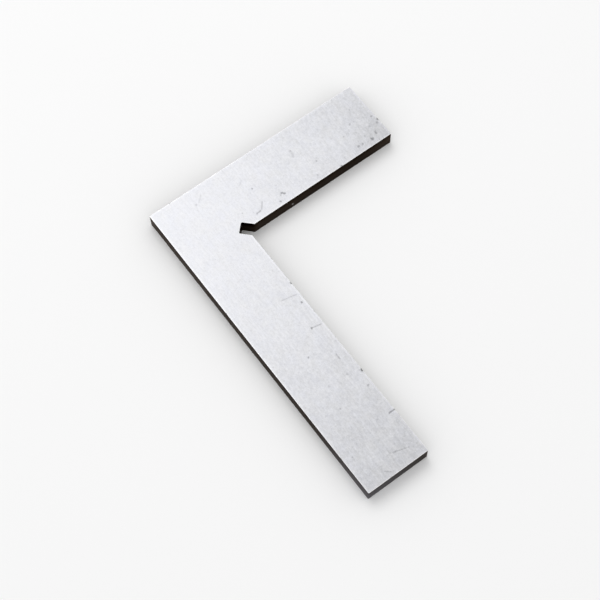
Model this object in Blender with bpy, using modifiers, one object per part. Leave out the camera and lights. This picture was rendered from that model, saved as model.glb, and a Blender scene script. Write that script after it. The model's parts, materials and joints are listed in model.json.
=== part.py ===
"""One-piece flat steel square with legs of 100 mm and 70 mm, for checking and scribing right angles.

The whole square is one L-shaped plate, cut from flat stock and ground on every face, so it is one object.
It lies on its underside. The long leg runs along +X and the short leg along +Y, and the origin is the
centre of the rectangle that the two legs span, on the underside. Lengths are in metres.
"""

import math

import bpy
from mathutils import Vector

# Driving dimensions.
LONG_LEG = 0.100  # outer corner to the long leg's end
SHORT_LEG = 0.070  # outer corner to the short leg's end
LEG_WIDTH = 0.0195  # the same on both legs
THICKNESS = 0.005
RELIEF_WIDTH = 0.0035  # the slot that clears a workpiece's corner, across
RELIEF_DEPTH = 0.0020  # from the legs' inner corner to the slot's floor, along the diagonal
RELIEF_RADIUS = 0.0004  # left by the cutter in the two corners of the slot's floor
ARRIS = 0.00025  # the chamfer that breaks every sharp edge

ARC_STEPS = 6  # straight pieces in a quarter-circle arc
ARRIS_ANGLE = math.radians(30)  # an edge that turns more than this is broken; the arcs' steps turn less
FLAT_ANGLE = math.radians(1)  # faces that meet at less than this are one flat face

STEEL_COLOUR = (0.78, 0.785, 0.80, 1.0)
STEEL_ROUGHNESS = 0.38


def clear_scene():
    for old in list(bpy.data.objects):
        bpy.data.objects.remove(old, do_unlink=True)


def ground_steel():
    """Bare carbon steel, surface-ground to a satin finish."""
    material = bpy.data.materials.new("ground_steel")
    material.use_nodes = True
    shader = material.node_tree.nodes["Principled BSDF"]
    shader.inputs["Base Color"].default_value = STEEL_COLOUR
    shader.inputs["Metallic"].default_value = 1.0
    shader.inputs["Roughness"].default_value = STEEL_ROUGHNESS
    material.diffuse_color = STEEL_COLOUR
    return material


def rounded(before, corner, after, radius):
    """The points of the arc that rounds a square corner on the way from before to after."""
    to_before = (before - corner).normalized()
    to_after = (after - corner).normalized()
    centre = corner + radius * (to_before + to_after)
    turns = [math.radians(90) * step / ARC_STEPS for step in range(ARC_STEPS + 1)]
    return [centre - radius * (math.cos(turn) * to_after + math.sin(turn) * to_before) for turn in turns]


def plate_outline():
    """The L's outline, anticlockwise from its outer corner, which is at (0, 0) here."""
    diagonal = Vector((1, 1)).normalized()
    across = Vector((1, -1)).normalized()
    inner_corner = Vector((LEG_WIDTH, LEG_WIDTH))

    # The slot is centred on the diagonal. Its sides meet the legs' inner edges at the mouth.
    mouth = RELIEF_WIDTH / math.sqrt(2)
    mouth_on_long_leg = inner_corner + Vector((mouth, 0))
    mouth_on_short_leg = inner_corner + Vector((0, mouth))
    floor_middle = inner_corner - RELIEF_DEPTH * diagonal
    floor_by_long_leg = floor_middle + RELIEF_WIDTH / 2 * across
    floor_by_short_leg = floor_middle - RELIEF_WIDTH / 2 * across

    return [
        Vector((0, 0)),
        Vector((LONG_LEG, 0)),
        Vector((LONG_LEG, LEG_WIDTH)),
        mouth_on_long_leg,
        *rounded(mouth_on_long_leg, floor_by_long_leg, floor_by_short_leg, RELIEF_RADIUS),
        *rounded(floor_by_long_leg, floor_by_short_leg, mouth_on_short_leg, RELIEF_RADIUS),
        mouth_on_short_leg,
        Vector((LEG_WIDTH, SHORT_LEG)),
        Vector((0, SHORT_LEG)),
    ]


def square_body(collection):
    """The L-shaped plate: its filled outline, extruded to the thickness, with every arris broken."""
    curve = bpy.data.curves.new("square_body", "CURVE")
    curve.dimensions = "2D"
    curve.fill_mode = "BOTH"
    curve.extrude = THICKNESS / 2
    outline = plate_outline()
    spline = curve.splines.new("POLY")
    spline.points.add(len(outline) - 1)
    spline.use_cyclic_u = True
    middle = Vector((LONG_LEG, SHORT_LEG)) / 2
    for point, place in zip(spline.points, outline):
        point.co = (*(place - middle), 0, 1)
    curve.materials.append(ground_steel())

    body = bpy.data.objects.new("square_body", curve)
    body.location.z = THICKNESS / 2
    collection.objects.link(body)

    weld = body.modifiers.new("join_faces_to_edges", "WELD")
    weld.merge_threshold = 0.00001
    whole_faces = body.modifiers.new("whole_flat_faces", "DECIMATE")
    whole_faces.decimate_type = "DISSOLVE"
    whole_faces.angle_limit = FLAT_ANGLE
    arris = body.modifiers.new("broken_arrises", "BEVEL")
    arris.width = ARRIS
    arris.segments = 1
    arris.limit_method = "ANGLE"
    arris.angle_limit = ARRIS_ANGLE
    return body


def main():
    clear_scene()
    collection = bpy.data.collections.new("steel_square")
    bpy.context.scene.collection.children.link(collection)
    square_body(collection)


main()
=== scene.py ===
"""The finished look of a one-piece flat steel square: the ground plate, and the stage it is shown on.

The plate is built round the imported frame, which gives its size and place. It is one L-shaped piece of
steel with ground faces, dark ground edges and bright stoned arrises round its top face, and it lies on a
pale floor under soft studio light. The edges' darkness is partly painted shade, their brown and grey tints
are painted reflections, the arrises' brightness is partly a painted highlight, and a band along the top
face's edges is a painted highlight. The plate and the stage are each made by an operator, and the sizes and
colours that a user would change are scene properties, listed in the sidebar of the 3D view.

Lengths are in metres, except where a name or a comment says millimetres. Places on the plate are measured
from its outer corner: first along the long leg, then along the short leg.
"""

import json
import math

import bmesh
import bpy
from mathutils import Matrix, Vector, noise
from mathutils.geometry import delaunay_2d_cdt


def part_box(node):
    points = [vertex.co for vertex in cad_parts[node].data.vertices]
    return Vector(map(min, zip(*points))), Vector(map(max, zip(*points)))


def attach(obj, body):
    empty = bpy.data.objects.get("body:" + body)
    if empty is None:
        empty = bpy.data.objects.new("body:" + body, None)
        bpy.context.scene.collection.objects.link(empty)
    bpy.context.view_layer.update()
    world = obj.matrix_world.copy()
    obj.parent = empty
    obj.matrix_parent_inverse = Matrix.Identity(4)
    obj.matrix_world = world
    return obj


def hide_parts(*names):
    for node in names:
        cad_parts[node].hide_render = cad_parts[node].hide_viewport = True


bl_info = {
    "name": "Flat Steel Square",
    "version": (1, 0, 0),
    "blender": (4, 5, 0),
    "location": "3D View > Sidebar > Steel Square",
    "description": "Builds a ground steel square with a relieved inner corner, and a stage for it",
    "category": "Object",
}

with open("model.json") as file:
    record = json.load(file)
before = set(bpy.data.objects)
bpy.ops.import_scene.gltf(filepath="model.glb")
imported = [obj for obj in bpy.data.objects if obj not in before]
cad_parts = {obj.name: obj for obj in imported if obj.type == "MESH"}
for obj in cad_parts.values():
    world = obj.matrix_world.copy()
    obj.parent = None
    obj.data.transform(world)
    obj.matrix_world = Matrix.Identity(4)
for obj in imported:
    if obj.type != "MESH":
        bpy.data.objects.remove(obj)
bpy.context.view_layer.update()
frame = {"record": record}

MM = 0.001
PLATE_NODE = "square_body"
PLATE_BODY = "root"

# The plate's sizes, from the frame. The legs' inner edges are where the record's mounts put them.
plate_low, plate_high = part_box(PLATE_NODE)
mount_place = {mount["name"]: Vector(mount["pos_m"]) for mount in frame["record"]["mounts"]}
OUTER_CORNER = plate_low.to_2d()
LONG_LEG = plate_high.x - plate_low.x
SHORT_LEG = plate_high.y - plate_low.y
THICKNESS = plate_high.z - plate_low.z
LEG_WIDTH = mount_place["long_inner_edge"].y - plate_low.y

# How finely the plate's outline and faces are stepped.
ARC_STEP = math.radians(9)
STRAIGHT_STEP = 0.6 * MM
NICK_STEP = 0.06 * MM
LONGEST_LAST_STEP = 1.5  # in steps, how long the last one of a straight stretch may be
FACE_STEP = 2.5 * MM
MARK_STEP = 0.12 * MM
TOUCHING = 1e-7  # places closer than this are one point when a face is closed

# An arris in section: its turns in degrees from the face to the edge, and its height per unit of width.
ARRIS_TURNS = (0, 25, 65, 90)
ARRIS_FALL = 0.65
EASE = 0.05 * MM  # the width of flat beside an arris that keeps each surface's shading its own

# How an arris wanders in width along the plate: lumps in a millimetre, and the share of the finer ones.
WANDER_PER_MM = 0.35
RIPPLE_PER_MM = 1.7
RIPPLE_SHARE = 0.4

# Seeds for the noise of the arrises and the marks, so that no two follow the same pattern.
LOWER_SEED = 1.0
UPPER_SEED = 2.0
RIM_SEED = 3.0
RIPPLE_SEED = 5.0

# The surfaces of the plate, in the order of its material slots.
FACE, EDGE, ARRIS = range(3)

# The mesh's own record of how worn each point of the top is, from 0 to 1, and how deep the worst marks go.
WEAR = "wear"
MARK_DEPTH = 0.014 * MM

# A mark's ragged rim: its lumps in a millimetre, where it lies and how far it strays in half widths of the
# mark, and how hard it is.
RIM_LUMPS_PER_MM = 2.2
RIM_PLACE = 1.15
RIM_STRAY = 0.6
RIM_HARDNESS = 1.6
MARK_REACH = 1.5  # in half widths, how far out from its middle a mark still shows
MARK_SURROUND_MM = 0.3  # flat face round each mark, so that its shading ends there
MARK_CLEARANCE = 0.35 * MM  # from a mark's points to the plate's outline
NICK_REACH = 2.5  # in half widths, how far a nick's finer steps go
DARKEST_NICK_MM = 0.4  # the depth at which a nick is fully dark

# Small dents in the top arrises, in millimetres: place, half width and depth.
NICKS_MM = (
    (40.2, 19.5, 0.45, 0.40),
    (50.7, 19.5, 0.35, 0.28),
    (72.0, 19.5, 0.60, 0.40),
    (85.9, 19.5, 0.35, 0.32),
    (88.6, 0.0, 0.35, 0.22),
    (37.0, 0.0, 0.35, 0.20),
    (0.0, 6.8, 0.35, 0.28),
    (19.5, 52.3, 0.40, 0.36),
    (13.4, 70.0, 0.60, 0.36),
    (100.0, 7.4, 0.40, 0.22),
)

# Scratches on the top face, in millimetres: start, end, half width, and how dark from 0 to 1.
SCRATCHES_MM = (
    ((15.0, 27.9), (17.1, 26.3), 0.17, 0.60),
    ((17.2, 25.8), (17.4, 24.4), 0.25, 0.62),
    ((7.4, 43.8), (8.9, 43.2), 0.40, 0.32),
    ((16.2, 33.7), (16.8, 34.4), 0.35, 0.90),
    ((42.9, 14.2), (43.8, 18.6), 0.14, 0.45),
    ((54.3, 15.8), (54.8, 18.6), 0.16, 0.58),
    ((64.2, 16.6), (66.0, 16.6), 0.16, 0.75),
    ((85.9, 17.6), (85.9, 19.2), 0.22, 1.00),
    ((95.0, 11.8), (96.4, 16.2), 0.16, 0.52),
    ((97.8, 6.9), (98.8, 8.1), 0.18, 0.58),
    ((3.0, 15.4), (4.9, 13.4), 0.16, 0.25),
    ((6.1, 27.0), (7.2, 25.8), 0.15, 0.25),
)

# Pits in the top face, in millimetres: place, half width, and how dark from 0 to 1.
PITS_MM = (
    (6.8, 43.7, 0.25, 0.80),
    (16.7, 33.1, 0.22, 0.55),
    (18.2, 32.0, 0.34, 0.75),
    (10.2, 27.9, 0.28, 0.90),
    (14.8, 21.2, 0.25, 0.60),
    (13.9, 47.7, 0.28, 0.80),
    (17.6, 45.2, 0.38, 0.50),
    (12.2, 58.5, 0.28, 0.65),
    (10.0, 62.4, 0.36, 0.65),
    (6.1, 65.2, 0.30, 0.72),
    (17.7, 64.7, 0.55, 0.95),
    (17.3, 61.5, 0.36, 0.68),
    (17.3, 60.1, 0.36, 0.72),
    (16.8, 66.7, 0.34, 0.60),
    (11.6, 68.9, 0.36, 0.85),
    (14.2, 69.0, 0.38, 0.62),
    (46.6, 18.3, 0.36, 0.95),
    (54.3, 15.9, 0.36, 1.00),
    (60.6, 10.1, 0.28, 0.95),
    (70.6, 15.5, 0.42, 0.45),
    (76.4, 18.0, 0.36, 0.70),
    (85.4, 14.2, 0.34, 0.45),
    (95.2, 12.4, 0.30, 0.85),
    (89.8, 2.6, 0.28, 0.75),
    (77.3, 8.1, 0.28, 0.65),
    (4.9, 12.5, 0.34, 0.40),
)

# A noise texture runs from 0 to 1 about this.
MIDDLE_NOISE = 0.5

# How nodes are set out: from one to the next across and down, and where the shader stands.
NODES_ACROSS = 220
NODES_DOWN = 200
SHADER_ACROSS = 2640

# A Mix node's two colour inputs and its colour output, which share their names with other sockets.
MIX_FIRST, MIX_SECOND, MIX_RESULT = 6, 7, 2

# What each layer adds to the tone of the faces. A tone of 1 is the plain colour.
LAY_TONE = 0.34
CLOUD_TONE = 0.18
STAIN_TONE = -0.085
PIT_TONE = -0.14  # and as much again where the face is stained
WEAR_TONE = -0.36
# The next two numbers paint a highlight along the top face's edges: how much it adds, and where it lies.
EDGE_HIGHLIGHT_TONE = 0.08
EDGE_HIGHLIGHT_BAND_MM = (0.2, 0.75)  # from the edges: full painted highlight, and no painted highlight
HANDLED_CONTRAST = (0.95, 1.1)  # how strong the mottling is by the outer corner, and at the legs' ends

# The tone of the edges in the same way, with the painted shade in the slot, and the painted shade that
# darkens them from one height to another.
EDGE_LINE_TONE = 0.7
EDGE_CLOUD_TONE = 0.25
SLOT_SHADE_TONE = -0.5
TOP_SHADE_MM = (2.5, 4.9)
TOP_SHADE = (1.1, 0.45)
RUB_STRENGTH = 0.6
BRIGHT_EDGE_SPOT_MM = (LEG_WIDTH / MM, 35.1, 1.8)  # the one clear bright spot on the edges
EDGE_GLANCE = (0.44, 0.41, 0.39, 1.0)  # the colour that the edges mirror at a glancing angle

# The tone of the arrises in the same way.
ARRIS_TONE = 0.98
ARRIS_PATCH_TONE = 0.35
NICK_TONE = -0.75

# How rough the edges and arrises are, and what each layer adds to a surface's roughness.
EDGE_ROUGHNESS = 0.30
ARRIS_ROUGHNESS = 0.30
UNEVEN_ROUGHNESS = 0.3
TONE_ROUGHNESS = 0.25
WEAR_ROUGHNESS = 0.12

# How deep the fine relief of the surfaces is.
FACE_RELIEF = 0.004 * MM
EDGE_RELIEF = 0.003 * MM
LAY_HEIGHT = 0.8  # how high the lay lines stand beside the mottling

# A speck is full within this share of its radius, and the faintest ones have this share of the full tone.
SPECK_CORE = 0.4
FAINTEST_SPECK = 0.35

# Where the lights and the camera stand on a turntable: azimuth and elevation in degrees, then distance.
VIEW_CENTRE = Vector((-0.0043, -0.0167, plate_high.z))
SOFTBOX_DISTANCE = 0.9
KEY_ANGLES = (260.0, 60.0)
LEFT_RIM_ANGLES = (339.6, 13.5)
RIGHT_RIM_ANGLES = (104.4, 19.8)
CAMERA_ANGLES = (55.31, 65.73)
CAMERA_ROLL = -2.01
CAMERA_DISTANCE = 0.41953
SENSOR_WIDTH_MM = 36.0
FLOOR_GAP = 0.01 * MM  # from the floor to the plate's under face


class SteelSquarePlate(bpy.types.PropertyGroup):
    """The sizes and finish of the plate."""

    relief_width: bpy.props.FloatProperty(
        name="Relief Width",
        description="Width of the slot that clears a workpiece's corner",
        default=3.5 * MM,
        min=0.5 * MM,
        max=8 * MM,
        unit="LENGTH",
    )
    relief_depth: bpy.props.FloatProperty(
        name="Relief Depth",
        description="How far the slot's floor lies past the inner corner, along the diagonal",
        default=2.0 * MM,
        min=0.5 * MM,
        max=6 * MM,
        unit="LENGTH",
    )
    relief_radius: bpy.props.FloatProperty(
        name="Relief Radius",
        description="Radius of the two corners of the slot's floor",
        default=0.4 * MM,
        min=0.1 * MM,
        max=1.5 * MM,
        unit="LENGTH",
    )
    corner_radius: bpy.props.FloatProperty(
        name="Corner Radius",
        description="Radius that the upright corners are eased to",
        default=0.2 * MM,
        min=0.2 * MM,
        max=1 * MM,
        unit="LENGTH",
    )
    arris: bpy.props.FloatProperty(
        name="Arris",
        description="Width of the arris along every edge of both faces",
        default=0.12 * MM,
        min=0.05 * MM,
        max=0.14 * MM,
        unit="LENGTH",
    )
    arris_unevenness: bpy.props.FloatProperty(
        name="Arris Unevenness",
        description="How much the arris changes width along an edge",
        default=0.25,
        min=0.0,
        max=0.3,
        subtype="FACTOR",
    )
    face_colour: bpy.props.FloatVectorProperty(
        name="Face Colour",
        description="Colour of the ground faces",
        default=(0.472, 0.477, 0.502),
        min=0.0,
        max=1.0,
        subtype="COLOR",
    )
    face_warm: bpy.props.FloatVectorProperty(
        name="Face Warm Patches",
        description="Colour of the warmer patches of the ground faces",
        default=(0.480, 0.482, 0.496),
        min=0.0,
        max=1.0,
        subtype="COLOR",
    )
    face_roughness: bpy.props.FloatProperty(
        name="Face Roughness",
        description="Roughness of the ground faces",
        default=0.42,
        min=0.1,
        max=0.8,
        subtype="FACTOR",
    )
    mottle: bpy.props.FloatProperty(
        name="Mottle",
        description="Contrast of the fine light and dark mottling of the ground faces",
        default=0.95,
        min=0.0,
        max=1.0,
        subtype="FACTOR",
    )
    # The edges' dark colour is partly their own and partly painted shade: the shadow that they mirror.
    edge_colour: bpy.props.FloatVectorProperty(
        name="Edge Colour",
        description="Colour of the dark ground edges",
        default=(0.035, 0.032, 0.030),
        min=0.0,
        max=1.0,
        subtype="COLOR",
    )
    # A painted reflection of brown surroundings, on the edges near the outer corner and at the short leg's
    # end.
    edge_brown_reflection: bpy.props.FloatVectorProperty(
        name="Edge Brown Tint",
        description="Colour of the edges near the outer corner and at the short leg's end",
        default=(0.055, 0.047, 0.042),
        min=0.0,
        max=1.0,
        subtype="COLOR",
    )
    # A painted reflection of pale surroundings, on the edges at the long leg's tip.
    edge_grey_reflection: bpy.props.FloatVectorProperty(
        name="Edge Grey Tint",
        description="Colour of the edges at the long leg's tip",
        default=(0.17, 0.174, 0.198),
        min=0.0,
        max=1.0,
        subtype="COLOR",
    )
    # The arrises' colour is brighter than the faces' steel, partly a painted highlight.
    arris_colour: bpy.props.FloatVectorProperty(
        name="Arris Colour",
        description="Colour of the bright stoned arrises round the top face, and of rubs on the edges",
        default=(0.95, 0.95, 0.96),
        min=0.0,
        max=1.0,
        subtype="COLOR",
    )


class SteelSquareStage(bpy.types.PropertyGroup):
    """The floor, the lights and the camera."""

    floor_colour: bpy.props.FloatVectorProperty(
        name="Floor Colour",
        description="Colour of the floor",
        default=(0.93, 0.93, 0.93),
        min=0.0,
        max=1.0,
        subtype="COLOR",
    )
    floor_size: bpy.props.FloatProperty(
        name="Floor Size",
        description="Side of the square floor",
        default=6.0,
        min=1.0,
        unit="LENGTH",
    )
    room_light: bpy.props.FloatProperty(
        name="Room Light",
        description="Strength of the even light from all round",
        default=0.81,
        min=0.0,
    )
    key_power: bpy.props.FloatProperty(
        name="Key Power",
        description="Power of the main softbox, which the top face mirrors",
        default=1.87,
        min=0.0,
        unit="POWER",
    )
    rim_power: bpy.props.FloatProperty(
        name="Rim Power",
        description="Power of each low softbox, which the top arrises mirror",
        default=0.3,
        min=0.0,
        unit="POWER",
    )
    softbox_size: bpy.props.FloatProperty(
        name="Softbox Size",
        description="Side of each softbox",
        default=0.5,
        min=0.05,
        unit="LENGTH",
    )
    lens: bpy.props.FloatProperty(
        name="Lens",
        description="Focal length of the camera, on a 36 mm sensor",
        default=92.9,
        min=10.0,
        unit="CAMERA",
    )


def rounded(before, corner, after, radius):
    """The points of the arc that rounds a corner on the way from before to after."""
    back = (before - corner).normalized()
    ahead = (after - corner).normalized()
    half_angle = back.angle(ahead) / 2
    centre = corner + (back + ahead).normalized() * radius / math.sin(half_angle)
    first = corner + back * radius / math.tan(half_angle) - centre
    last = corner + ahead * radius / math.tan(half_angle) - centre
    turn = first.angle_signed(last)
    steps = max(2, round(abs(turn) / ARC_STEP))
    # A 2D signed angle counts clockwise, and a 2D rotation matrix anticlockwise.
    return [centre + Matrix.Rotation(-turn * step / steps, 2) @ first for step in range(steps + 1)]


def plate_outline(plate):
    """The L's outline, anticlockwise from the outer corner, with its corners eased."""
    across = Vector((1, -1)).normalized()
    diagonal = Vector((1, 1)).normalized()
    inner_corner = Vector((LEG_WIDTH, LEG_WIDTH))
    mouth = plate.relief_width / math.sqrt(2)
    floor_middle = inner_corner - plate.relief_depth * diagonal
    corners = [
        (Vector((0, 0)), plate.corner_radius),
        (Vector((LONG_LEG, 0)), plate.corner_radius),
        (Vector((LONG_LEG, LEG_WIDTH)), plate.corner_radius),
        (inner_corner + Vector((mouth, 0)), plate.corner_radius),
        (floor_middle + plate.relief_width / 2 * across, plate.relief_radius),
        (floor_middle - plate.relief_width / 2 * across, plate.relief_radius),
        (inner_corner + Vector((0, mouth)), plate.corner_radius),
        (Vector((LEG_WIDTH, SHORT_LEG)), plate.corner_radius),
        (Vector((0, SHORT_LEG)), plate.corner_radius),
    ]
    outline = []
    for index, (corner, radius) in enumerate(corners):
        before = corners[index - 1][0]
        after = corners[(index + 1) % len(corners)][0]
        outline += rounded(before, corner, after, radius)
    return outline


def by_a_nick(place):
    """True where a place on the outline is close to a nick."""
    for x, y, half_width, _ in NICKS_MM:
        if (place / MM - Vector((x, y))).length < NICK_REACH * half_width:
            return True
    return False


def stepped(outline):
    """The outline with its straight stretches cut into steps, which are finer at the nicks."""
    points = []
    for start, end in zip(outline, outline[1:] + outline[:1]):
        along = end - start
        done = 0.0
        while done < along.length:
            place = start + along.normalized() * done
            points.append(place)
            step = NICK_STEP if by_a_nick(place) else STRAIGHT_STEP
            if along.length - done < LONGEST_LAST_STEP * step:
                break
            done += step
    return points


def mitres(points):
    """For each point of a closed outline, the move that takes it one unit inwards from both its sides."""
    moves = []
    for index, point in enumerate(points):
        before = (point - points[index - 1]).normalized()
        after = (points[(index + 1) % len(points)] - point).normalized()
        inward = Vector((-before.y - after.y, before.x + after.x))
        moves.append(inward / (1 + before.dot(after)))
    return moves


def all_marks():
    """Every scratch, pit and nick in millimetres: its two ends, its half width and how dark it is."""
    marks = [(Vector(start), Vector(end), half_width, dark) for start, end, half_width, dark in SCRATCHES_MM]
    marks += [(Vector((x, y)), Vector((x, y)), half_width, dark) for x, y, half_width, dark in PITS_MM]
    for x, y, half_width, depth in NICKS_MM:
        marks.append((Vector((x, y)), Vector((x, y)), half_width, min(depth / DARKEST_NICK_MM, 1.0)))
    return marks


MARKS = all_marks()


def distance_to(place, start, end):
    """How far a place is from the straight line between two others."""
    along = end - start
    share = (place - start).dot(along) / max(along.length_squared, 1e-9)
    return (place - start - along * min(max(share, 0.0), 1.0)).length


def lumps(place, per_mm, seed):
    """Smooth noise about 0 at a place on the plate. Each seed gives it another pattern."""
    spot = place / MM
    return noise.noise(Vector((spot.x * per_mm, spot.y * per_mm, seed)))


def wear_at(place):
    """How worn the top is at a place, from 0 to 1. The marks have ragged rims."""
    stray = RIM_STRAY * lumps(place, RIM_LUMPS_PER_MM, RIM_SEED)
    worn = 0.0
    for start, end, half_width, dark in MARKS:
        inside = RIM_PLACE - distance_to(place / MM, start, end) / half_width - stray
        worn = max(worn, dark * min(max(RIM_HARDNESS * inside, 0.0), 1.0))
    return worn


def clearance(place):
    """How far inside the L's outline a place is, leaving the slot out."""
    from_inner_edges = LEG_WIDTH - min(place)
    return min(place.x, place.y, LONG_LEG - place.x, SHORT_LEG - place.y, from_inner_edges)


def steps_between(low, high, step):
    """The whole numbers of steps that cover the stretch from low to high."""
    return range(math.floor(low / step), math.ceil(high / step))


def mark_points():
    """Close rows of places over every mark, clear of the plate's outline. Odd rows are half a step over."""
    places = []
    for start, end, half_width, _ in MARKS:
        margin = Vector((1, 1)) * (MARK_REACH * half_width + MARK_SURROUND_MM)
        low = Vector(map(min, start, end)) - margin
        high = Vector(map(max, start, end)) + margin
        for row in steps_between(low.y * MM, high.y * MM, MARK_STEP):
            for step in steps_between(low.x * MM, high.x * MM, MARK_STEP):
                place = Vector((step + 0.5 * (row % 2), row)) * MARK_STEP
                beyond = distance_to(place / MM, start, end) - MARK_REACH * half_width
                if beyond < MARK_SURROUND_MM and clearance(place) > MARK_CLEARANCE:
                    places.append(place)
    return places


def arris_width(place, plate, seed):
    """The local width of an arris, which wanders a little, as stoning by hand leaves it."""
    wander = lumps(place, WANDER_PER_MM, seed)
    ripple = lumps(place, RIPPLE_PER_MM, seed + RIPPLE_SEED)
    return plate.arris * (1 + plate.arris_unevenness * (wander + RIPPLE_SHARE * ripple))


def nick_depth(place):
    """How much wider the nicks make the top arris at a place."""
    depth = 0.0
    for x, y, half_width, deepest in NICKS_MM:
        share = (place / MM - Vector((x, y))).length / half_width
        depth += deepest * MM * max(0.0, 1 - share * share) ** 2
    return depth


def arris_point(width, turn):
    """A point of an arris in section: its distance in from the edge, and its distance from the face."""
    sweep = math.radians(turn)
    return width * (1 - math.sin(sweep)), ARRIS_FALL * width * (1 - math.cos(sweep))


def section(lower, upper):
    """The plate's side in section, from the under face up: inset, height and the surface that follows."""
    rows = [(lower + EASE, 0.0, FACE)]
    # The under face's arris takes the edge surface, whose darkness is partly painted shade.
    for turn in ARRIS_TURNS:
        inset, rise = arris_point(lower, turn)
        rows.append((inset, rise, EDGE))
    rows.append((0.0, ARRIS_FALL * lower + EASE, EDGE))
    rows.append((0.0, THICKNESS - ARRIS_FALL * upper - EASE, EDGE))
    for turn in reversed(ARRIS_TURNS):
        inset, fall = arris_point(upper, turn)
        rows.append((inset, THICKNESS - fall, ARRIS if turn else FACE))
    rows.append((upper + EASE, THICKNESS, FACE))
    return rows


def face_points():
    """Places all over the L, about one step apart, so that its faces are made of even triangles."""
    places = []
    for row in range(1, math.ceil(SHORT_LEG / FACE_STEP)):
        for step in range(1, math.ceil(LONG_LEG / FACE_STEP)):
            place = Vector((step, row)) * FACE_STEP
            if clearance(place) > FACE_STEP / 2:
                places.append(place)
    return places


def close_face(mesh, rim, inner, faces_up):
    """Closes the plate's top or under face with triangles between its rim and the places inside it."""
    rim_places = [vert.co.to_2d() - OUTER_CORNER for vert in rim]
    sides = [(index, (index + 1) % len(rim)) for index in range(len(rim))]
    # The 1 asks for triangles inside the rim only.
    places, _, triangles, sources, _, _ = delaunay_2d_cdt(rim_places + inner, sides, [], 1, TOUCHING)
    wear = mesh.verts.layers.float[WEAR]
    verts = []
    for place, origins in zip(places, sources):
        if origins and origins[0] < len(rim):
            verts.append(rim[origins[0]])
            continue
        vert = mesh.verts.new((*(OUTER_CORNER + place), rim[0].co.z))
        if faces_up:
            vert[wear] = wear_at(place)
            vert.co.z -= MARK_DEPTH * vert[wear]
        verts.append(vert)
    for corners in triangles:
        turned = corners if faces_up else reversed(corners)
        mesh.faces.new([verts[corner] for corner in turned]).material_index = FACE


def plate_mesh(plate):
    """The plate as one closed mesh: the section carried round the outline, and closed by the two faces."""
    points = stepped(plate_outline(plate))
    moves = mitres(points)
    mesh = bmesh.new()
    wear = mesh.verts.layers.float.new(WEAR)
    surfaces = [surface for _, _, surface in section(plate.arris, plate.arris)]
    columns = []
    for point, move in zip(points, moves):
        lower = arris_width(point, plate, LOWER_SEED)
        upper = arris_width(point, plate, UPPER_SEED) + nick_depth(point)
        column = []
        for inset, height, _ in section(lower, upper):
            place = point + move * inset
            vert = mesh.verts.new((*(OUTER_CORNER + place), plate_low.z + height))
            if height > THICKNESS / 2 and by_a_nick(place):
                vert[wear] = wear_at(place)
            column.append(vert)
        columns.append(column)
    for column, beside in zip(columns, columns[1:] + columns[:1]):
        for row, surface in enumerate(surfaces[:-1]):
            face = mesh.faces.new((column[row], beside[row], beside[row + 1], column[row + 1]))
            face.material_index = surface
    close_face(mesh, [column[0] for column in columns], face_points(), faces_up=False)
    close_face(mesh, [column[-1] for column in columns], face_points() + mark_points(), faces_up=True)
    for face in mesh.faces:
        face.smooth = True
    made = bpy.data.meshes.new("ground_plate")
    mesh.to_mesh(made)
    mesh.free()
    return made


def add_node(tree, kind, inputs=None, **settings):
    """A new node with its settings and inputs. It stands one column right of the nodes that feed it."""
    made = tree.nodes.new(kind)
    for name, value in settings.items():
        setattr(made, name, value)
    column = 0
    for name, value in (inputs or {}).items():
        if isinstance(value, bpy.types.NodeSocket):
            tree.links.new(value, made.inputs[name])
            column = max(column, value.node.location.x + NODES_ACROSS)
        else:
            made.inputs[name].default_value = value
    row = sum(1 for other in tree.nodes if other.location.x == column)
    made.location = (column, -NODES_DOWN * row)
    return made


def maths(tree, operation, *values):
    """One operation on numbers, each of them a plain value or a socket."""
    return add_node(tree, "ShaderNodeMath", dict(enumerate(values)), operation=operation).outputs["Value"]


def vector_maths(tree, operation, *vectors):
    """One operation on vectors. A distance comes out as a number."""
    made = add_node(tree, "ShaderNodeVectorMath", dict(enumerate(vectors)), operation=operation)
    return made.outputs["Value" if operation == "DISTANCE" else "Vector"]


def scaled(tree, vector, factor):
    """A vector, or a colour, times a number."""
    made = add_node(tree, "ShaderNodeVectorMath", {0: vector, "Scale": factor}, operation="SCALE")
    return made.outputs["Vector"]


def blended(tree, factor, first, second):
    """A colour between two others, each of them a socket or a plain colour."""
    sides = [side if isinstance(side, bpy.types.NodeSocket) else (*side, 1.0) for side in (first, second)]
    inputs = {0: factor, MIX_FIRST: sides[0], MIX_SECOND: sides[1]}
    made = add_node(tree, "ShaderNodeMix", inputs, data_type="RGBA")
    return made.outputs[MIX_RESULT]


def stretched(tree, value, low, high, to_low, to_high, smooth=False):
    """A number carried from one range to another, and held at that range's ends."""
    made = add_node(
        tree,
        "ShaderNodeMapRange",
        {"Value": value, "From Min": low, "From Max": high, "To Min": to_low, "To Max": to_high},
        interpolation_type="SMOOTHSTEP" if smooth else "LINEAR",
    )
    return made.outputs["Result"]


def new_material(name):
    """A new material with a Principled shader: the material, its node tree and the shader."""
    material = bpy.data.materials.new(name)
    material.use_nodes = True
    tree = material.node_tree
    tree.nodes.clear()
    shader = tree.nodes.new("ShaderNodeBsdfPrincipled")
    output = tree.nodes.new("ShaderNodeOutputMaterial")
    tree.links.new(shader.outputs["BSDF"], output.inputs["Surface"])
    shader.location = (SHADER_ACROSS, 0)
    output.location = (SHADER_ACROSS + NODES_ACROSS, 0)
    return material, tree, shader


def place_in_mm(tree):
    """The place on the plate, in millimetres from the outer corner's foot."""
    place = add_node(tree, "ShaderNodeTexCoord")
    from_corner = vector_maths(tree, "SUBTRACT", place.outputs["Object"], plate_low)
    return scaled(tree, from_corner, 1 / MM)


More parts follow.
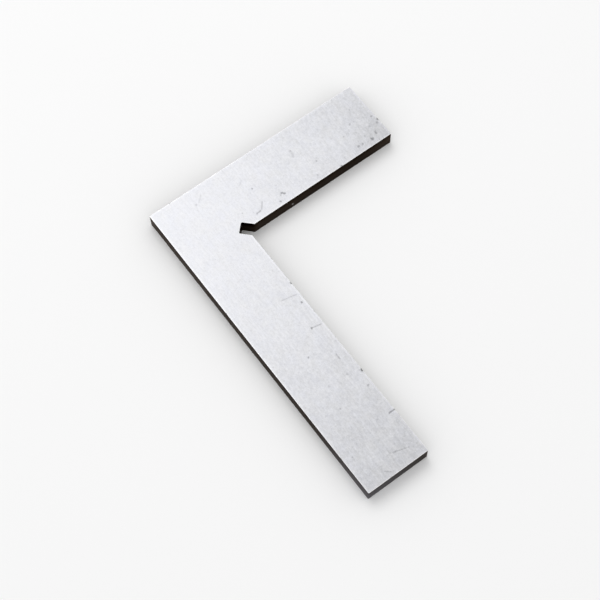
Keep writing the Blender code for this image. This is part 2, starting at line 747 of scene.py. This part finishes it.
def grain(tree, place, sizes, detail=2.0, roughness=0.5):
    """Noise about 0, whose lumps are of these sizes in millimetres along X, Y and Z."""
    counts = Vector([1 / size for size in sizes])
    cells = vector_maths(tree, "MULTIPLY", place, counts)
    pattern = {"Vector": cells, "Scale": 1.0, "Detail": detail, "Roughness": roughness}
    made = add_node(tree, "ShaderNodeTexNoise", pattern)
    return maths(tree, "SUBTRACT", made.outputs["Fac"], MIDDLE_NOISE)


def near(tree, place, spot, full, none):
    """1 within one distance of a spot and 0 beyond another, in millimetres."""
    distance = vector_maths(tree, "DISTANCE", place, Vector(spot))
    return stretched(tree, distance, full, none, 1.0, 0.0, smooth=True)


def specks(tree, place, spacing, radius, share):
    """Scattered dots from 0 to 1: this share of the cells of a pattern of that spacing holds one."""
    pattern = {"Vector": place, "Scale": 1 / spacing, "Randomness": 1.0}
    cells = add_node(tree, "ShaderNodeTexVoronoi", pattern)
    rim = radius / spacing
    dot = stretched(tree, cells.outputs["Distance"], SPECK_CORE * rim, rim, 1.0, 0.0)
    lot = add_node(tree, "ShaderNodeSeparateColor", {"Color": cells.outputs["Color"]})
    chosen = maths(tree, "LESS_THAN", lot.outputs["Red"], share)
    depth = stretched(tree, lot.outputs["Green"], 0.0, 1.0, FAINTEST_SPECK, 1.0)
    return maths(tree, "MULTIPLY", maths(tree, "MULTIPLY", dot, chosen), depth)


def layered(tree, base, layer, share):
    """A number with a share of another one laid over it."""
    return maths(tree, "MULTIPLY_ADD", layer, share, base)


def distance_from_edges(tree, place):
    """How far a point of the face is from the L's nearest edge, in millimetres."""
    axes = add_node(tree, "ShaderNodeSeparateXYZ", {"Vector": place}).outputs
    from_outer = maths(tree, "MINIMUM", axes["X"], axes["Y"])
    from_inner = maths(tree, "SUBTRACT", LEG_WIDTH / MM, from_outer)
    from_long_end = maths(tree, "SUBTRACT", LONG_LEG / MM, axes["X"])
    from_short_end = maths(tree, "SUBTRACT", SHORT_LEG / MM, axes["Y"])
    from_sides = maths(tree, "MINIMUM", from_outer, from_inner)
    return maths(tree, "MINIMUM", from_sides, maths(tree, "MINIMUM", from_long_end, from_short_end))


def wear_on_mesh(tree):
    """How worn the mesh says that each point is, from 0 to 1."""
    return add_node(tree, "ShaderNodeAttribute", attribute_name=WEAR).outputs["Fac"]


def finish_steel(tree, shader, colour, roughness, height, relief):
    """Gives a steel's shader its colour, its roughness and the fine relief of its surface."""
    bump = add_node(tree, "ShaderNodeBump", {"Height": height, "Strength": 1.0, "Distance": relief})
    shader.inputs["Metallic"].default_value = 1.0
    tree.links.new(colour, shader.inputs["Base Color"])
    tree.links.new(roughness, shader.inputs["Roughness"])
    tree.links.new(bump.outputs["Normal"], shader.inputs["Normal"])


def face_steel(plate):
    """The ground faces: satin and finely mottled, with faint lay lines, specks, pits and scratches."""
    material, tree, shader = new_material("ground_face")
    place = place_in_mm(tree)
    mottle = grain(tree, place, (0.95, 0.8, 0.9), detail=4.0, roughness=0.85)
    lay = grain(tree, place, (9.0, 0.55, 5.0), detail=3.0, roughness=0.7)
    cloud = grain(tree, place, (8.0, 6.0, 6.0))
    patches = grain(tree, place, (3.0, 2.4, 3.0), detail=3.0, roughness=0.7)
    worn = wear_on_mesh(tree)

    # The legs' ends are handled most. The short one is the most stained, close to its inner corner.
    corner = (0.0, 0.0, THICKNESS / MM)
    stained_spot = (LEG_WIDTH / MM - 1.5, SHORT_LEG / MM - 2.0, THICKNESS / MM)
    handled = maths(tree, "SUBTRACT", 1.0, near(tree, place, corner, full=10.0, none=70.0))
    stained = near(tree, place, stained_spot, full=1.0, none=15.0)
    small_share = layered(tree, 0.14, stained, 0.5)
    large_share = layered(tree, 0.16, stained, 0.4)
    small = specks(tree, place, spacing=1.1, radius=0.30, share=small_share)
    large = specks(tree, place, spacing=3.2, radius=0.55, share=large_share)
    pitted = maths(tree, "MAXIMUM", small, large)

    # Painted highlight: the face is a little brighter close to its edges.
    edge_highlight = stretched(tree, distance_from_edges(tree, place), *EDGE_HIGHLIGHT_BAND_MM, 1.0, 0.0, smooth=True)

    tone = maths(tree, "MULTIPLY", mottle, plate.mottle)
    tone = layered(tree, tone, lay, LAY_TONE)
    tone = layered(tree, tone, cloud, CLOUD_TONE)
    strength = stretched(tree, handled, 0.0, 1.0, *HANDLED_CONTRAST)
    pit_tone = layered(tree, PIT_TONE, stained, PIT_TONE)
    shade = maths(tree, "MULTIPLY_ADD", tone, strength, 1.0)
    shade = layered(tree, shade, stained, STAIN_TONE)
    shade = layered(tree, shade, pitted, pit_tone)
    shade = layered(tree, shade, worn, WEAR_TONE)
    shade = layered(tree, shade, edge_highlight, EDGE_HIGHLIGHT_TONE)
    warm = stretched(tree, patches, -0.15, 0.15, 0.0, 1.0)
    colour = scaled(tree, blended(tree, warm, plate.face_colour, plate.face_warm), shade)

    rough = layered(tree, plate.face_roughness, tone, TONE_ROUGHNESS)
    rough = layered(tree, rough, worn, WEAR_ROUGHNESS)
    height = layered(tree, mottle, lay, LAY_HEIGHT)
    height = maths(tree, "SUBTRACT", height, maths(tree, "ADD", pitted, worn))
    finish_steel(tree, shader, colour, rough, height, FACE_RELIEF)
    return material


def edge_steel(plate):
    """The ground edges: dark, partly as painted shade, with fine lines along them, lighter tints near some
    corners as painted reflections, and rubs.
    """
    material, tree, shader = new_material("ground_edge")
    place = place_in_mm(tree)
    lines = grain(tree, place, (4.5, 4.5, 0.24), detail=3.0, roughness=0.7)
    cloud = grain(tree, place, (5.0, 5.0, 2.0))

    middle = THICKNESS / MM / 2
    # Painted reflections: brown near the outer corner and at the short leg's end, and grey at the long leg's
    # tip.
    outer_corner_reflection = near(tree, place, (0.0, 0.0, middle), full=8.0, none=75.0)
    short_end_reflection = near(tree, place, (LEG_WIDTH / MM, SHORT_LEG / MM, middle), full=4.0, none=11.0)
    long_tip_reflection = near(tree, place, (LONG_LEG / MM, 0.0, 1.0), full=0.0, none=26.0)
    colour = blended(tree, outer_corner_reflection, plate.edge_colour, plate.edge_brown_reflection)
    colour = blended(tree, short_end_reflection, colour, plate.edge_brown_reflection)
    colour = blended(tree, long_tip_reflection, colour, plate.edge_grey_reflection)

    # Painted shade: the edges darken towards the top face, and in the slot.
    height_up = add_node(tree, "ShaderNodeSeparateXYZ", {"Vector": place}).outputs["Z"]
    slot_middle = (LEG_WIDTH / MM - 0.5, LEG_WIDTH / MM - 0.5, middle)
    shade = layered(tree, 1.0, lines, EDGE_LINE_TONE)
    shade = layered(tree, shade, cloud, EDGE_CLOUD_TONE)
    shade = maths(tree, "MULTIPLY", shade, stretched(tree, height_up, *TOP_SHADE_MM, *TOP_SHADE))
    shade = layered(tree, shade, near(tree, place, slot_middle, full=2.5, none=4.5), SLOT_SHADE_TONE)

    rubs = specks(tree, place, spacing=2.4, radius=0.26, share=0.03)
    rubs = maths(tree, "MAXIMUM", rubs, near(tree, place, BRIGHT_EDGE_SPOT_MM, full=0.1, none=0.45))
    rubs = maths(tree, "MULTIPLY", rubs, RUB_STRENGTH)
    colour = blended(tree, rubs, scaled(tree, colour, shade), plate.arris_colour)

    rough = layered(tree, EDGE_ROUGHNESS, lines, UNEVEN_ROUGHNESS)
    shader.inputs["Specular Tint"].default_value = EDGE_GLANCE
    finish_steel(tree, shader, colour, rough, lines, EDGE_RELIEF)
    return material


def arris_steel(plate):
    """The stoned arrises round the top face: bright, partly as a painted highlight, a little uneven, and
    dark in the nicks.
    """
    material, tree, shader = new_material("stoned_arris")
    patchy = grain(tree, place_in_mm(tree), (1.2, 1.2, 0.4), detail=3.0)
    shade = layered(tree, ARRIS_TONE, patchy, ARRIS_PATCH_TONE)
    shade = layered(tree, shade, wear_on_mesh(tree), NICK_TONE)
    colour = scaled(tree, Vector(plate.arris_colour), shade)
    rough = layered(tree, ARRIS_ROUGHNESS, patchy, UNEVEN_ROUGHNESS)
    finish_steel(tree, shader, colour, rough, patchy, FACE_RELIEF)
    return material


class STEELSQUARE_OT_plate(bpy.types.Operator):
    """Build the ground steel plate, which is the whole square"""

    bl_idname = "steelsquare.plate"
    bl_label = "Build Plate"
    bl_options = {"REGISTER", "UNDO"}

    def execute(self, context):
        plate = context.scene.steel_square_plate
        mesh = plate_mesh(plate)
        for material in (face_steel(plate), edge_steel(plate), arris_steel(plate)):
            mesh.materials.append(material)
        piece = bpy.data.objects.new("ground_steel_square", mesh)
        context.scene.collection.objects.link(piece)
        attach(piece, PLATE_BODY)
        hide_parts(PLATE_NODE)
        return {"FINISHED"}


def turntable(angles, distance, roll=0.0):
    """The pose of a camera or light that faces the view's centre. An azimuth of 0 looks along +Y."""
    azimuth, elevation = angles
    return (
        Matrix.Translation(VIEW_CENTRE)
        @ Matrix.Rotation(math.radians(azimuth), 4, "Z")
        @ Matrix.Rotation(math.radians(90 - elevation), 4, "X")
        @ Matrix.Rotation(math.radians(roll), 4, "Z")
        @ Matrix.Translation((0, 0, distance))
    )


def softbox(name, power, size, angles):
    """A square area light that faces the view's centre."""
    light = bpy.data.lights.new(name, "AREA")
    light.shape = "SQUARE"
    light.size = size
    light.energy = power
    lamp = bpy.data.objects.new(name, light)
    bpy.context.scene.collection.objects.link(lamp)
    lamp.matrix_world = turntable(angles, SOFTBOX_DISTANCE)


class STEELSQUARE_OT_stage(bpy.types.Operator):
    """Build the floor, the lights and the camera"""

    bl_idname = "steelsquare.stage"
    bl_label = "Build Stage"
    bl_options = {"REGISTER", "UNDO"}

    def execute(self, context):
        scene = context.scene
        stage = scene.steel_square_stage

        bpy.ops.mesh.primitive_grid_add(x_subdivisions=8, y_subdivisions=8, size=stage.floor_size)
        floor = context.object
        floor.name = "floor"
        floor.location.z = plate_low.z - FLOOR_GAP
        material, _, shader = new_material("pale_floor")
        shader.inputs["Base Color"].default_value = (*stage.floor_colour, 1.0)
        shader.inputs["Roughness"].default_value = 0.9
        shader.inputs["Specular IOR Level"].default_value = 0.1
        floor.data.materials.append(material)

        world = bpy.data.worlds.new("studio")
        world.use_nodes = True
        background = world.node_tree.nodes["Background"]
        background.inputs["Color"].default_value = (1.0, 1.0, 1.0, 1.0)
        background.inputs["Strength"].default_value = stage.room_light
        scene.world = world

        softbox("key_softbox", stage.key_power, stage.softbox_size, KEY_ANGLES)
        softbox("left_rim_softbox", stage.rim_power, stage.softbox_size, LEFT_RIM_ANGLES)
        softbox("right_rim_softbox", stage.rim_power, stage.softbox_size, RIGHT_RIM_ANGLES)

        camera = bpy.data.cameras.new("camera")
        camera.lens = stage.lens
        camera.sensor_width = SENSOR_WIDTH_MM
        camera.clip_start = 0.01
        view = bpy.data.objects.new("camera", camera)
        scene.collection.objects.link(view)
        view.matrix_world = turntable(CAMERA_ANGLES, CAMERA_DISTANCE, CAMERA_ROLL)
        scene.camera = view
        scene.view_settings.view_transform = "Standard"
        return {"FINISHED"}


class STEELSQUARE_PT_build(bpy.types.Panel):
    """The plate, the stage and their settings"""

    bl_label = "Steel Square"
    bl_idname = "STEELSQUARE_PT_build"
    bl_space_type = "VIEW_3D"
    bl_region_type = "UI"
    bl_category = "Steel Square"

    def draw(self, context):
        for operator, settings in (
            ("steelsquare.plate", context.scene.steel_square_plate),
            ("steelsquare.stage", context.scene.steel_square_stage),
        ):
            column = self.layout.column(align=True)
            for name in settings.__annotations__:
                column.prop(settings, name)
            column.operator(operator)


CLASSES = (
    SteelSquarePlate,
    SteelSquareStage,
    STEELSQUARE_OT_plate,
    STEELSQUARE_OT_stage,
    STEELSQUARE_PT_build,
)


def register():
    for made in CLASSES:
        bpy.utils.register_class(made)
    bpy.types.Scene.steel_square_plate = bpy.props.PointerProperty(type=SteelSquarePlate)
    bpy.types.Scene.steel_square_stage = bpy.props.PointerProperty(type=SteelSquareStage)


def unregister():
    del bpy.types.Scene.steel_square_stage
    del bpy.types.Scene.steel_square_plate
    for made in reversed(CLASSES):
        bpy.utils.unregister_class(made)


def main():
    register()
    bpy.ops.steelsquare.stage()
    bpy.ops.steelsquare.plate()


if __name__ == "__main__":
    main()
